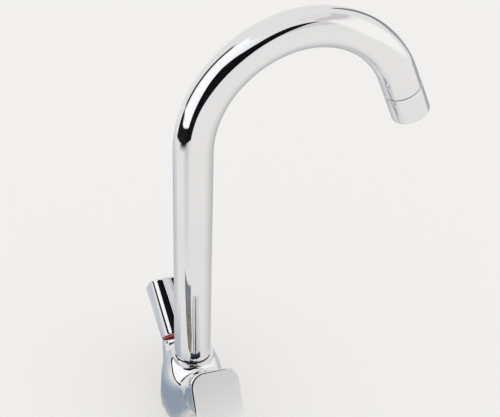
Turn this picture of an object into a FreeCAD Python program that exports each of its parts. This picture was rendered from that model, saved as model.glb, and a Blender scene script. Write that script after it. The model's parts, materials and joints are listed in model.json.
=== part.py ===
import FreeCAD, Part

import math
import os
import re

import Sketcher

# Two-handle kitchen mixer tap with a swan-neck spout, in millimetres.
# The origin is the centre of the base on the worktop, +Z is up, the spout points along +X
# and the two handles stand out along +Y (hot) and -Y (cold), tilted up from the body.

SIZES = {
    # Body casting
    "body_height": 52.0,
    "base_diameter": 50.0,
    "base_edge": 1.2,
    "waist_height": 24.0,
    "column_diameter": 47.6,
    "collar_diameter": 32.2,
    "collar_band": 1.2,
    "valley_height": 43.5,
    "saddle_reach": 18.0,
    "saddle_trim": 0.4,
    "ridge_width": 5.0,
    "ridge_slope": 3.0,
    # The two valve arms of the body, which meet on the body's centre line
    "arm_tilt": 50.5,
    "arm_cross_height": 11.5,
    "arm_root": 6.0,
    "arm_length": 42.6,
    "arm_root_width": 38.0,
    "arm_root_corner": 6.0,
    "arm_end_width": 31.0,
    "arm_end_corner": 14.5,
    # Spout tube
    "tube_diameter": 28.0,
    "tube_wall": 1.5,
    "tube_top_of_riser": 231.0,
    "first_bend_radius": 85.0,
    "first_bend_angle": 72.4,
    "second_bend_radius": 72.0,
    "second_bend_angle": 83.6,
    "tube_end_straight": 13.0,
    # Spout foot, which turns in the body's socket
    "spigot_diameter": 18.7,
    "spigot_length": 17.0,
    "spigot_bore": 12.0,
    "spigot_chamfer": 0.8,
    "foot_height": 13.0,
    "slide_ring_height": 1.0,
    "slide_ring_diameter": 27.6,
    "ring_groove_depth": 1.5,
    "ring_groove_width": 2.2,
    "upper_ring_depth": 3.8,
    "lower_ring_depth": 7.6,
    "keeper_groove_depth": 1.4,
    "keeper_groove_width": 3.0,
    "keeper_depth": 12.2,
    "socket_depth": 19.0,
    "socket_chamfer": 0.5,
    # Keeper screw behind the body, which holds the spout down
    "keeper_screw_diameter": 5.0,
    "keeper_screw_length": 8.0,
    "keeper_tip_diameter": 2.4,
    "keeper_tip_length": 1.6,
    "keeper_key_width": 2.5,
    "keeper_key_depth": 2.5,
    # Outlet
    "outlet_bush_depth": 10.0,
    "outlet_thread_diameter": 24.0,
    "outlet_thread_length": 7.0,
    "outlet_bore": 19.0,
    "aerator_diameter": 28.4,
    "aerator_length": 22.4,
    "aerator_joint": 0.3,
    "aerator_edge": 0.8,
    "aerator_lip": 2.2,
    "aerator_lip_bore": 20.6,
    "aerator_seal_height": 1.5,
    "cartridge_diameter": 23.2,
    "cartridge_length": 9.4,
    "jet_diameter": 1.3,
    "jet_circle": 15.0,
    "jet_count": 16,
    "mesh_height": 1.4,
    "mesh_hole": 1.5,
    "mesh_pitch": 2.1,
    "mesh_rings": 4,
    # Valve pockets, measured back from the arm's end, and the waterways
    "pocket_depth": 23.1,
    "seat_depth": 20.1,
    "seat_diameter": 15.0,
    "pocket_diameter": 18.6,
    "valve_thread_length": 10.1,
    "valve_thread_diameter": 20.9,
    "rebate_depth": 1.3,
    "rebate_diameter": 25.0,
    "waterway_diameter": 7.0,
    "waterway_start": 8.0,
    "mixing_diameter": 4.0,
    "mixing_inset": 1.3,
    "mixing_wall": 1.07,
    "throat_diameter": 8.0,
    # Inlets, stud hole and gasket groove in the underside
    "inlet_forward": 4.0,
    "inlet_spacing": 16.0,
    "inlet_diameter": 9.0,
    "inlet_thread_depth": 10.0,
    "inlet_depth": 18.0,
    "stud_back": 10.5,
    "stud_hole_depth": 13.0,
    "gasket_inner_diameter": 34.0,
    "gasket_outer_diameter": 45.0,
    "gasket_height": 2.0,
    # Ceramic valve
    "nose_length": 19.7,
    "nose_diameter": 18.0,
    "nose_bore": 15.6,
    "window_depth": 15.5,
    "window_length": 3.6,
    "window_width": 9.0,
    "seal_height": 3.0,
    "seal_bore": 8.4,
    "disc_height": 3.0,
    "disc_port_inner": 2.0,
    "disc_port_outer": 5.4,
    "disc_port_half_angle": 38.0,
    "driver_height": 2.6,
    "driver_diameter": 15.2,
    "drive_slot_width": 3.0,
    "drive_slot_depth": 1.2,
    "flange_height": 2.0,
    "flange_diameter": 23.8,
    "hex_height": 5.6,
    "hex_width": 19.0,
    "gland_height": 3.0,
    "gland_diameter": 14.0,
    "spindle_diameter": 10.0,
    "spindle_shoulder": 1.7,
    "spline_length": 14.6,
    "spline_diameter": 8.0,
    "spline_tooth_depth": 0.4,
    "spline_teeth": 20,
    "spindle_ring_rise": 2.9,
    "spindle_ring_width": 1.9,
    "spindle_ring_depth": 1.4,
    "clip_height": 0.8,
    "clip_diameter": 12.4,
    "clip_groove_depth": 1.0,
    # Index ring and handle
    "index_ring_height": 1.3,
    "index_ring_bore": 24.8,
    "index_ring_width": 30.0,
    "handle_gap": 0.4,
    "handle_length": 45.0,
    "handle_base_width": 31.0,
    "handle_base_corner": 14.5,
    "handle_end_width": 37.4,
    "handle_end_corner": 10.5,
    "handle_edge": 1.2,
    "handle_cavity_diameter": 25.6,
    "handle_cavity_depth": 36.8,
    "boss_diameter": 19.0,
    "boss_gap": 1.0,
    "bush_diameter": 12.2,
    "bush_length": 13.6,
    "grub_inset": 6.6,
    "grub_diameter": 5.0,
    "grub_length": 6.0,
    # Fixing set under the worktop
    "worktop_thickness": 30.0,
    "stud_diameter": 8.0,
    "stud_bottom": 62.0,
    "stud_chamfer": 1.0,
    "washer_diameter": 46.0,
    "washer_slot_width": 26.0,
    "washer_slot_back": 4.6,
    "rubber_washer_height": 3.0,
    "steel_washer_height": 2.5,
    "stud_washer_hole": 8.6,
    "nut_width": 13.0,
    "nut_height": 8.0,
    # Clearances
    "turning_clearance": 0.05,
    "face_clearance": 0.05,
    "fit_clearance": 0.02,
    "joining_overlap": 1.0,
}

doc = FreeCAD.newDocument("KitchenMixerTap")
sheet = doc.addObject("Spreadsheet::Sheet", "Sizes")
for row, (size_name, size_value) in enumerate(SIZES.items(), start=1):
    sheet.set(f"A{row}", size_name)
    sheet.set(f"B{row}", str(size_value))
    sheet.setAlias(f"B{row}", size_name)
doc.recompute()

pieces = []


def formula(text):
    """Make a formula of size names read them from the sheet."""
    return re.sub(r"[a-z_]{2,}", lambda word: "Sizes." + word[0] if word[0] in SIZES else word[0], str(text))


def bind(item, prop, text):
    item.setExpression(prop, formula(text))


# Places on the tap, as formulas
SIDE_Y = "sin(arm_tilt)"
UP_Z = "cos(arm_tilt)"
SOCKET_DIAMETER = "(spigot_diameter + 2 * turning_clearance)"
SOCKET_BOTTOM = "(body_height - socket_depth)"
SPIGOT_BOTTOM = "(body_height - spigot_length)"
KEEPER_HEIGHT = "(body_height - keeper_depth)"
TUBE_BOTTOM = "(body_height + slide_ring_height + 2 * face_clearance)"
FIRST_X = "(first_bend_radius * (1 - cos(first_bend_angle)))"
FIRST_Z = "(tube_top_of_riser + first_bend_radius * sin(first_bend_angle))"
SECOND_CENTRE_X = "(first_bend_radius - (first_bend_radius - second_bend_radius) * cos(first_bend_angle))"
SECOND_CENTRE_Z = "(tube_top_of_riser + (first_bend_radius - second_bend_radius) * sin(first_bend_angle))"
BEND = "(first_bend_angle + second_bend_angle)"
SECOND_X = f"({FIRST_X} + second_bend_radius * (cos(first_bend_angle) - cos({BEND})))"
SECOND_Z = f"({FIRST_Z} + second_bend_radius * (sin({BEND}) - sin(first_bend_angle)))"
OUTLET_X = f"({SECOND_X} + tube_end_straight * sin({BEND}))"
OUTLET_Z = f"({SECOND_Z} + tube_end_straight * cos({BEND}))"
ARM = {
    "hot": "placement(vector(0; 0; arm_cross_height); rotation(vector(1; 0; 0); -arm_tilt))",
    "cold": "placement(vector(0; 0; arm_cross_height); "
            "rotation(vector(0; 0; 1); 180) * rotation(vector(1; 0; 0); -arm_tilt))",
}
OUTLET = f"placement(vector({OUTLET_X}; 0; {OUTLET_Z}); rotation(vector(0; 1; 0); {BEND}))"
HANDLE_BASE = "(arm_length + index_ring_height + 2 * face_clearance + handle_gap)"
GLAND_TOP = "(arm_length + flange_height + hex_height + gland_height)"
SEAT = "(arm_length - seat_depth)"
POCKET_START = "(arm_length - pocket_depth)"
THREAD_START = "(arm_length - valve_thread_length)"
MIXING_ALONG = f"({POCKET_START} + mixing_inset)"
MIXING_OUT = "(pocket_diameter / 2 - mixing_wall)"
MIXING_Y = f"({MIXING_ALONG} * {SIDE_Y} - {MIXING_OUT} * {UP_Z})"
MIXING_Z = f"(arm_cross_height + {MIXING_ALONG} * {UP_Z} + {MIXING_OUT} * {SIDE_Y})"
DISC_START = f"({SEAT} + seal_height)"
MOVING_DISC_START = f"({DISC_START} + disc_height + face_clearance)"
DRIVER_START = f"({MOVING_DISC_START} + disc_height)"
SPINDLE_RING = "(arm_length + spindle_ring_rise)"
SPLINE_START = f"({GLAND_TOP} + spindle_shoulder)"
SPINDLE_END = f"({SPLINE_START} + spline_length)"
BOSS_START = f"({SPLINE_START} + boss_gap)"
GRUB_HEIGHT = f"({BOSS_START} + grub_inset)"
HANDLE_END = f"({HANDLE_BASE} + handle_length)"


def body(label, place=None, is_piece=True):
    """Start a body; a piece's label is also the name of its file."""
    item = doc.addObject("PartDesign::Body", label)
    item.Label = label
    if place:
        bind(item, "Placement", place)
    if is_piece:
        pieces.append(item)
    return item


def sketch(owner, role="XY_Plane", height=None, turn=None):
    """A sketch on one of the owner's own origin planes, moved along the plane's normal by a formula."""
    item = owner.newObject("Sketcher::SketchObject", owner.Label + "_sketch")
    plane = next(o for o in owner.Origin.OriginFeatures if o.Role == role)
    item.AttachmentSupport = [(plane, "")]
    item.MapMode = "FlatFace"
    spin = turn if turn else "0"
    if height or turn:
        bind(item, "AttachmentOffset",
             f"placement(vector(0; 0; {height or 0}); rotation(vector(0; 0; 1); {spin}))")
    return item


def pin_point(item, geometry, position, across, up=None):
    """Hold a point of a sketch at a place given by two formulas, or by its first one alone."""
    drawn = item.getPoint(geometry, position)
    for kind, place, text in (("DistanceX", drawn.x, across), ("DistanceY", drawn.y, up)):
        if text is not None:
            number = item.addConstraint(Sketcher.Constraint(kind, -1, 1, geometry, position, place))
            bind(item, f"Constraints[{number}]", text)


def outline(item, points):
    """Draw a closed outline of straight lines; each point is two formulas."""
    first = len(item.Geometry)
    count = len(points)
    start = [FreeCAD.Vector(math.cos(math.tau * i / count), math.sin(math.tau * i / count), 0)
             for i in range(count)]
    for i in range(count):
        item.addGeometry(Part.LineSegment(start[i], start[(i + 1) % count]))
    for i in range(count):
        item.addConstraint(Sketcher.Constraint("Coincident", first + i, 2, first + (i + 1) % count, 1))
    for i, (across, up) in enumerate(points):
        pin_point(item, first + i, 1, across, up)


def circle(item, diameter, across="0", up="0"):
    number = item.addGeometry(Part.Circle(FreeCAD.Vector(0, 0, 0), FreeCAD.Vector(0, 0, 1), 1.0))
    size = item.addConstraint(Sketcher.Constraint("Diameter", number, 2.0))
    bind(item, f"Constraints[{size}]", diameter)
    pin_point(item, number, 3, across, up)


def rounded_square(item, width_name, corner_name):
    """Draw a square with round corners about the sketch's origin."""
    half = SIZES[width_name] / 2
    corner = SIZES[corner_name]
    flat = half - corner
    for quarter in range(4):
        turn = FreeCAD.Rotation(FreeCAD.Vector(0, 0, 1), 90 * quarter)
        centre = turn.multVec(FreeCAD.Vector(flat, flat, 0))
        begin = math.radians(90 * quarter)
        arc_circle = Part.Circle(centre, FreeCAD.Vector(0, 0, 1), corner)
        item.addGeometry(Part.ArcOfCircle(arc_circle, begin, begin + math.pi / 2))
        item.addGeometry(Part.LineSegment(turn.multVec(FreeCAD.Vector(flat, half, 0)),
                                          turn.multVec(FreeCAD.Vector(-flat, half, 0))))
    for quarter in range(4):
        arc = 2 * quarter
        item.addConstraint(Sketcher.Constraint("Tangent", arc, 2, arc + 1, 1))
        item.addConstraint(Sketcher.Constraint("Tangent", arc + 1, 2, (arc + 2) % 8, 1))
        sign_x = 1 if quarter in (0, 3) else -1
        sign_y = 1 if quarter in (0, 1) else -1
        flat_part = f"({width_name} / 2 - {corner_name})"
        pin_point(item, arc, 3, f"{sign_x} * {flat_part}", f"{sign_y} * {flat_part}")
    size = item.addConstraint(Sketcher.Constraint("Radius", 0, corner))
    bind(item, f"Constraints[{size}]", corner_name)


def turned(owner, points, cut=False):
    """Turn an outline of radius and height formulas about the owner's own Z axis."""
    profile = sketch(owner, "XZ_Plane")
    outline(profile, points)
    kind = "PartDesign::Groove" if cut else "PartDesign::Revolution"
    item = owner.newObject(kind, owner.Label + "_turned")
    item.Profile = profile
    item.ReferenceAxis = (profile, ["V_Axis"])
    item.Angle = 360
    return item


def ring_outline(inner, outer, bottom, top):
    """A tube's section, from its inner and outer diameters and its two heights."""
    return [(f"({inner}) / 2", bottom), (f"({outer}) / 2", bottom),
            (f"({outer}) / 2", top), (f"({inner}) / 2", top)]


def tube(label, place, inner, outer, bottom, top):
    item = body(label, place)
    turned(item, ring_outline(inner, outer, bottom, top))
    return item


def padded(owner, profile, length):
    item = owner.newObject("PartDesign::Pad", owner.Label + "_pad")
    item.Profile = profile
    bind(item, "Length", length)
    return item


def pocketed(owner, profile, length, both_ways=False, reverse=False):
    item = owner.newObject("PartDesign::Pocket", owner.Label + "_pocket")
    item.Profile = profile
    bind(item, "Length", length)
    item.Midplane = both_ways
    item.Reversed = reverse
    return item


def lofted(owner, lower, upper):
    item = owner.newObject("PartDesign::AdditiveLoft", owner.Label + "_loft")
    item.Profile = upper
    item.Sections = [lower]
    item.Ruled = True
    return item


def edge_names(shape, wanted):
    """The names of the edges for which wanted(edge) is true."""
    return [f"Edge{i}" for i, edge in enumerate(shape.Edges, start=1) if wanted(edge)]


def rounded_edges(owner, base, wanted, radius, chamfer=False):
    doc.recompute()
    kind = "PartDesign::Chamfer" if chamfer else "PartDesign::Fillet"
    item = owner.newObject(kind, owner.Label + "_edge")
    item.Base = (base, edge_names(base.Shape, wanted))
    bind(item, "Size" if chamfer else "Radius", radius)
    return item


def at_height(value, slack=0.01):
    """A test for an edge that lies flat at one height of its body."""
    return lambda edge: abs(edge.BoundBox.ZMin - value) < slack and abs(edge.BoundBox.ZMax - value) < slack


def hexagon(item, width):
    outline(item, [(f"{width} / 2 / cos(30) * cos({60 * i})", f"{width} / 2 / cos(30) * sin({60 * i})")
                   for i in range(6)])


# Body casting: round column with a bulging shoulder, and two tapered arms for the valves
def column_form():
    item = body("column_form", is_piece=False)
    profile = sketch(item, "XZ_Plane")
    base = SIZES["base_diameter"] / 2
    column = SIZES["column_diameter"] / 2
    collar = SIZES["collar_diameter"] / 2
    waist = SIZES["waist_height"]
    top = SIZES["body_height"]
    shoulder = top - SIZES["collar_band"]
    corners = [(0, 0), (base, 0), (column, waist), (collar, shoulder), (collar, top), (0, top)]
    points = [FreeCAD.Vector(x, y, 0) for x, y in corners]
    along = (points[2] - points[1]).normalize()
    inward = FreeCAD.Vector(-along.y, along.x, 0)
    chord = points[3] - points[2]
    radius = chord.dot(chord) / (2 * chord.dot(inward))
    centre = points[2] + inward * radius
    start = math.atan2(points[2].y - centre.y, points[2].x - centre.x)
    end = math.atan2(points[3].y - centre.y, points[3].x - centre.x)
    for i in (0, 1):
        profile.addGeometry(Part.LineSegment(points[i], points[i + 1]))
    profile.addGeometry(Part.ArcOfCircle(Part.Circle(centre, FreeCAD.Vector(0, 0, 1), radius), start, end))
    for i in (3, 4, 5):
        profile.addGeometry(Part.LineSegment(points[i], points[(i + 1) % 6]))
    for i in (0, 2, 3, 4, 5):
        profile.addConstraint(Sketcher.Constraint("Coincident", i, 2, (i + 1) % 6, 1))
    profile.addConstraint(Sketcher.Constraint("Tangent", 1, 2, 2, 1))
    places = [("0", "0"), ("base_diameter / 2", "0"), ("column_diameter / 2", "waist_height"),
              ("collar_diameter / 2", "body_height - collar_band"), ("collar_diameter / 2", "body_height"),
              ("0", "body_height")]
    for i, (across, up) in enumerate(places):
        pin_point(profile, i, 1, across, up)
    spun = item.newObject("PartDesign::Revolution", "column_turned")
    spun.Profile = profile
    spun.ReferenceAxis = (profile, ["V_Axis"])
    spun.Angle = 360
    rounded_edges(item, spun, at_height(0), "base_edge")
    return item


def arm_form(side):
    item = body(f"{side}_arm_form", ARM[side], is_piece=False)
    root = sketch(item, height="arm_root")
    rounded_square(root, "arm_root_width", "arm_root_corner")
    end = sketch(item, height="arm_length")
    rounded_square(end, "arm_end_width", "arm_end_corner")
    lofted(item, root, end)
    return item


def primitive(kind, name, **sizes):
    item = doc.addObject(kind, name)
    for prop, text in sizes.items():
        bind(item, prop, text)
    return item


def saddle_cut():
    """The hollow between collar and arm, cut right across the body on both sides."""
    item = body("saddle_cut", is_piece=False)
    end_y = f"(arm_length * {SIDE_Y} - arm_end_width / 2 * {UP_Z})"
    end_z = f"(arm_cross_height + arm_length * {UP_Z} + arm_end_width / 2 * {SIDE_Y} - saddle_trim)"
    past_y = f"(2 * {end_y} - saddle_reach)"
    past_z = f"(2 * {end_z} - valley_height)"
    for sign in (1, -1):
        profile = sketch(item, "YZ_Plane")
        outline(profile, [
            (f"{sign} * ridge_width / 2", "body_height + joining_overlap"),
            (f"{sign} * (ridge_width / 2 + ridge_slope)", "valley_height"),
            (f"{sign} * saddle_reach", "valley_height"),
            (f"{sign} * {past_y}", past_z),
            (f"{sign} * {past_y}", "2 * body_height"),
            (f"{sign} * ridge_width / 2", "2 * body_height"),
        ])
        pad = padded(item, profile, "2 * base_diameter")
        pad.Midplane = True
    collar = sketch(item)
    circle(collar, "collar_diameter - 2 * fit_clearance")
    pocketed(item, collar, "3 * body_height", reverse=True)
    return item


def waterway_tools():
    """Every bore of the casting, as solids to cut away."""
    tools = []
    socket = body("socket_tool", is_piece=False)
    turned(socket, [("0", SOCKET_BOTTOM), (f"{SOCKET_DIAMETER} / 2", SOCKET_BOTTOM),
                    (f"{SOCKET_DIAMETER} / 2", "body_height - socket_chamfer"),
                    (f"{SOCKET_DIAMETER} / 2 + socket_chamfer + joining_overlap",
                     "body_height + joining_overlap"),
                    ("0", "body_height + joining_overlap")])
    tools.append(socket)
    throat = body("throat_tool", is_piece=False)
    turned(throat, [("0", MIXING_Z), ("throat_diameter / 2", MIXING_Z),
                    ("throat_diameter / 2", f"{SOCKET_BOTTOM} + joining_overlap"),
                    ("0", f"{SOCKET_BOTTOM} + joining_overlap")])
    tools.append(throat)
    groove = body("gasket_tool", is_piece=False)
    turned(groove, ring_outline("gasket_inner_diameter", "gasket_outer_diameter",
                                "-joining_overlap", "gasket_height"))
    tools.append(groove)
    for side, sign in (("hot", 1), ("cold", -1)):
        pocket = body(f"{side}_pocket_tool", ARM[side], is_piece=False)
        thread = "(valve_thread_diameter / 2 + fit_clearance)"
        turned(pocket, [
            ("0", "waterway_start"), ("waterway_diameter / 2", "waterway_start"),
            ("waterway_diameter / 2", SEAT), ("seat_diameter / 2", SEAT),
            ("seat_diameter / 2", POCKET_START), ("pocket_diameter / 2", POCKET_START),
            ("pocket_diameter / 2", THREAD_START), (thread, THREAD_START),
            (thread, "arm_length - rebate_depth"), ("rebate_diameter / 2", "arm_length - rebate_depth"),
            ("rebate_diameter / 2", "arm_length + joining_overlap"), ("0", "arm_length + joining_overlap")])
        tools.append(pocket)
        inlet = body(f"{side}_inlet_tool", is_piece=False)
        bind(inlet, "Placement", f"placement(vector(inlet_forward; {sign} * inlet_spacing / 2; 0); "
                                 "rotation(vector(0; 0; 1); 0))")
        turned(inlet, [
            ("0", "-joining_overlap"), ("inlet_diameter / 2", "-joining_overlap"),
            ("inlet_diameter / 2", "inlet_thread_depth"), ("waterway_diameter / 2", "inlet_thread_depth"),
            ("waterway_diameter / 2", "inlet_depth"), ("0", "inlet_depth")])
        tools.append(inlet)
    mixing = primitive("Part::Cylinder", "mixing_tool", Radius="mixing_diameter / 2",
                       Height=f"2 * {MIXING_Y}",
                       Placement=f"placement(vector(0; {MIXING_Y}; {MIXING_Z}); "
                                 "rotation(vector(1; 0; 0); 90))")
    stud = primitive("Part::Cylinder", "stud_tool", Radius="stud_diameter / 2 + fit_clearance",
                     Height="stud_hole_depth + joining_overlap",
                     Placement="placement(vector(-stud_back; 0; -joining_overlap); "
                               "rotation(vector(0; 0; 1); 0))")
    keeper = primitive("Part::Cylinder", "keeper_tool", Radius="keeper_screw_diameter / 2 + fit_clearance",
                       Height="base_diameter / 2",
                       Placement="placement(vector(spigot_bore / 2 + turning_clearance; 0; "
                                 f"{KEEPER_HEIGHT}); rotation(vector(0; 1; 0); 90))")
    return tools + [mixing, stud, keeper]


def make_body_casting():
    outer = doc.addObject("Part::MultiFuse", "body_outer")
    outer.Shapes = [column_form(), arm_form("hot"), arm_form("cold")]
    scooped = doc.addObject("Part::Cut", "body_scooped")
    scooped.Base = outer
    scooped.Tool = saddle_cut()
    bores = doc.addObject("Part::MultiFuse", "body_bores")
    bores.Shapes = waterway_tools()
    casting = doc.addObject("Part::Cut", "tap_body")
    casting.Base = scooped
    casting.Tool = bores
    casting.Label = "tap_body"
    pieces.append(casting)


# Spout: bent tube, foot with its seals, and the outlet with its aerator
def make_spout_tube():
    item = body("spout_tube")
    path = sketch(item, "XZ_Plane")
    riser = SIZES["tube_top_of_riser"]
    bottom = SIZES["body_height"] + SIZES["slide_ring_height"]
    first = SIZES["first_bend_radius"]
    second = SIZES["second_bend_radius"]
    turn_one = math.radians(SIZES["first_bend_angle"])
    turn_two = math.radians(SIZES["second_bend_angle"])
    both = turn_one + turn_two
    up = FreeCAD.Vector(0, 0, 1)
    first_centre = FreeCAD.Vector(first, riser, 0)
    towards = FreeCAD.Vector(-math.cos(turn_one), math.sin(turn_one), 0)
    second_centre = first_centre + towards * (first - second)
    end = second_centre + FreeCAD.Vector(-math.cos(both), math.sin(both), 0) * second
    tip = end + FreeCAD.Vector(math.sin(both), math.cos(both), 0) * SIZES["tube_end_straight"]
    path.addGeometry(Part.LineSegment(FreeCAD.Vector(0, bottom, 0), FreeCAD.Vector(0, riser, 0)))
    path.addGeometry(Part.ArcOfCircle(Part.Circle(first_centre, up, first), math.pi - turn_one, math.pi))
    path.addGeometry(Part.ArcOfCircle(Part.Circle(second_centre, up, second), math.pi - both,
                                      math.pi - turn_one))
    path.addGeometry(Part.LineSegment(end, tip))
    for a, a_end, b, b_end in ((0, 2, 1, 2), (1, 1, 2, 2), (2, 1, 3, 1)):
        path.addConstraint(Sketcher.Constraint("Coincident", a, a_end, b, b_end))
    pin_point(path, 0, 1, "0", TUBE_BOTTOM)
    pin_point(path, 1, 2, "0", "tube_top_of_riser")
    pin_point(path, 1, 3, "first_bend_radius", "tube_top_of_riser")
    pin_point(path, 1, 1, FIRST_X)
    pin_point(path, 2, 3, SECOND_CENTRE_X, SECOND_CENTRE_Z)
    pin_point(path, 2, 1, SECOND_X)
    pin_point(path, 3, 2, OUTLET_X, OUTLET_Z)
    ring = sketch(item, height=TUBE_BOTTOM)
    circle(ring, "tube_diameter")
    circle(ring, "tube_diameter - 2 * tube_wall")
    pipe = item.newObject("PartDesign::AdditivePipe", "spout_pipe")
    pipe.Profile = ring
    pipe.Spine = (path, ["Edge1", "Edge2", "Edge3", "Edge4"])


def make_spout_foot():
    item = body("spout_foot")
    foot = "(tube_diameter / 2 - tube_wall - fit_clearance)"
    spigot = "(spigot_diameter / 2)"
    turned(item, [
        ("spigot_bore / 2", SPIGOT_BOTTOM), (f"{spigot} - spigot_chamfer", SPIGOT_BOTTOM),
        (spigot, f"{SPIGOT_BOTTOM} + spigot_chamfer"), (spigot, TUBE_BOTTOM), (foot, TUBE_BOTTOM),
        (foot, f"{TUBE_BOTTOM} + foot_height"), ("spigot_bore / 2", f"{TUBE_BOTTOM} + foot_height")])
    grooves = (("keeper_depth", "keeper_groove_width", "keeper_groove_depth"),
               ("upper_ring_depth", "ring_groove_width", "ring_groove_depth"),
               ("lower_ring_depth", "ring_groove_width", "ring_groove_depth"))
    for below_top, width, depth in grooves:
        height = f"(body_height - {below_top})"
        turned(item, ring_outline(f"spigot_diameter - 2 * {depth}", "spigot_diameter + joining_overlap",
                                  f"{height} - {width} / 2", f"{height} + {width} / 2"), cut=True)


def seal_ring(owner, inner, outer, height):
    """A round-section sealing ring that just fills the groove between two diameters."""
    profile = sketch(owner, "XZ_Plane")
    circle(profile, f"(({outer}) - ({inner})) / 2", f"(({outer}) + ({inner})) / 4", height)
    item = owner.newObject("PartDesign::Revolution", owner.Label + "_ring")
    item.Profile = profile
    item.ReferenceAxis = (profile, ["V_Axis"])
    item.Angle = 360
    return item


def make_spout_seals():
    for name in ("upper", "lower"):
        item = body(f"spout_o_ring_{name}")
        seal_ring(item, "spigot_diameter - 2 * ring_groove_depth", "spigot_diameter",
                  f"(body_height - {name}_ring_depth)")
    tube("spout_slide_ring", None, "spigot_diameter + 2 * fit_clearance", "slide_ring_diameter",
         "body_height + face_clearance", "body_height + face_clearance + slide_ring_height")


def make_keeper_screw():
    groove = "(spigot_diameter / 2 - keeper_groove_depth)"
    item = body("spout_keeper_screw")
    bind(item, "Placement", f"placement(vector({groove} + 2 * turning_clearance; 0; {KEEPER_HEIGHT}); "
                            "rotation(vector(0; 1; 0); 90))")
    turned(item, [
        ("0", "0"), ("keeper_tip_diameter / 2", "0"), ("keeper_tip_diameter / 2", "keeper_tip_length"),
        ("keeper_screw_diameter / 2", "keeper_tip_length"),
        ("keeper_screw_diameter / 2", "keeper_screw_length"),
        ("0", "keeper_screw_length")])
    key = sketch(item, height="keeper_screw_length")
    hexagon(key, "keeper_key_width")
    pocketed(item, key, "keeper_key_depth")


def make_outlet():
    tube_bore = "(tube_diameter - 2 * tube_wall)"
    bush = body("outlet_bush", OUTLET)
    turned(bush, [
        ("outlet_bore / 2", "-outlet_bush_depth"),
        (f"{tube_bore} / 2 - fit_clearance", "-outlet_bush_depth"),
        (f"{tube_bore} / 2 - fit_clearance", "0"), ("outlet_thread_diameter / 2", "0"),
        ("outlet_thread_diameter / 2", "outlet_thread_length"), ("outlet_bore / 2", "outlet_thread_length")])
    housing = body("aerator_housing", OUTLET)
    spun = turned(housing, [
        ("outlet_thread_diameter / 2 + fit_clearance", "aerator_joint"),
        ("aerator_diameter / 2", "aerator_joint"), ("aerator_diameter / 2", "aerator_length"),
        ("aerator_lip_bore / 2", "aerator_length"), ("aerator_lip_bore / 2", "aerator_length - aerator_lip"),
        ("outlet_thread_diameter / 2 + fit_clearance", "aerator_length - aerator_lip")])
    rounded_edges(housing, spun, at_height(SIZES["aerator_length"]), "aerator_edge")
    seal_start = "(outlet_thread_length + face_clearance)"
    tube("aerator_seal", OUTLET, "outlet_bore", "cartridge_diameter", seal_start,
         f"{seal_start} + aerator_seal_height")


def make_aerator_inside():
    top = "(outlet_thread_length + aerator_seal_height + 2 * face_clearance)"
    cartridge = body("aerator_cartridge", OUTLET)
    turned(cartridge, [
        ("0", top), ("cartridge_diameter / 2", top),
        ("cartridge_diameter / 2", f"{top} + cartridge_length"), ("0", f"{top} + cartridge_length")])
    jets = sketch(cartridge, height=top)
    for i in range(SIZES["jet_count"]):
        angle = f"360 / jet_count * {i}"
        circle(jets, "jet_diameter", f"jet_circle / 2 * cos({angle})", f"jet_circle / 2 * sin({angle})")
    pocketed(cartridge, jets, "cartridge_length", reverse=True)
    mesh_top = f"({top} + cartridge_length + face_clearance)"
    mesh = body("aerator_mesh", OUTLET)
    mesh_bottom = f"({mesh_top} + mesh_height)"
    turned(mesh, [("0", mesh_top), ("cartridge_diameter / 2", mesh_top),
                  ("cartridge_diameter / 2", mesh_bottom), ("0", mesh_bottom)])
    holes = sketch(mesh, height=mesh_top)
    circle(holes, "mesh_hole")
    for ring in range(1, SIZES["mesh_rings"] + 1):
        for i in range(6 * ring):
            angle = f"{60 / ring} * {i}"
            circle(holes, "mesh_hole", f"mesh_pitch * {ring} * cos({angle})",
                   f"mesh_pitch * {ring} * sin({angle})")
    pocketed(mesh, holes, "mesh_height", reverse=True)


# Ceramic valve, index ring and handle, once on each arm
def disc_ports(owner, height, turn):
    """Cut the two fan-shaped ports of a ceramic disc."""
    profile = sketch(owner, height=height, turn=turn)
    half = "disc_port_half_angle"
    for start in (0, 180):
        outline(profile, [
            (f"disc_port_inner * cos({start} - {half})", f"disc_port_inner * sin({start} - {half})"),
            (f"disc_port_outer * cos({start} - {half})", f"disc_port_outer * sin({start} - {half})"),
            (f"disc_port_outer * cos({start})", f"disc_port_outer * sin({start})"),
            (f"disc_port_outer * cos({start} + {half})", f"disc_port_outer * sin({start} + {half})"),
            (f"disc_port_inner * cos({start} + {half})", f"disc_port_inner * sin({start} + {half})")])
    pocketed(owner, profile, "disc_height", reverse=True)


def make_discs(side):
    fixed = tube(f"{side}_fixed_disc", ARM[side], "0", "nose_bore - 2 * fit_clearance", DISC_START,
                 f"{DISC_START} + disc_height")
    disc_ports(fixed, DISC_START, "0")
    moving = tube(f"{side}_moving_disc", ARM[side], "0", "driver_diameter", MOVING_DISC_START,
                  f"{MOVING_DISC_START} + disc_height")
    disc_ports(moving, MOVING_DISC_START, "90")
    slot = sketch(moving, height=f"{MOVING_DISC_START} + disc_height")
    slot_shape(slot, "drive_slot_width / 2")
    pocketed(moving, slot, "drive_slot_depth")


def slot_shape(profile, half_width):
    """A bar right across the spindle's driver, or the slot that it turns."""
    reach = "driver_diameter"
    outline(profile, [(f"-{reach}", f"-{half_width}"), (reach, f"-{half_width}"), (reach, half_width),
                      (f"-{reach}", half_width)])


def make_seat_seal(side):
    tube(f"{side}_seat_seal", ARM[side], "seal_bore", "seat_diameter", SEAT, f"{SEAT} + seal_height")


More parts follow.
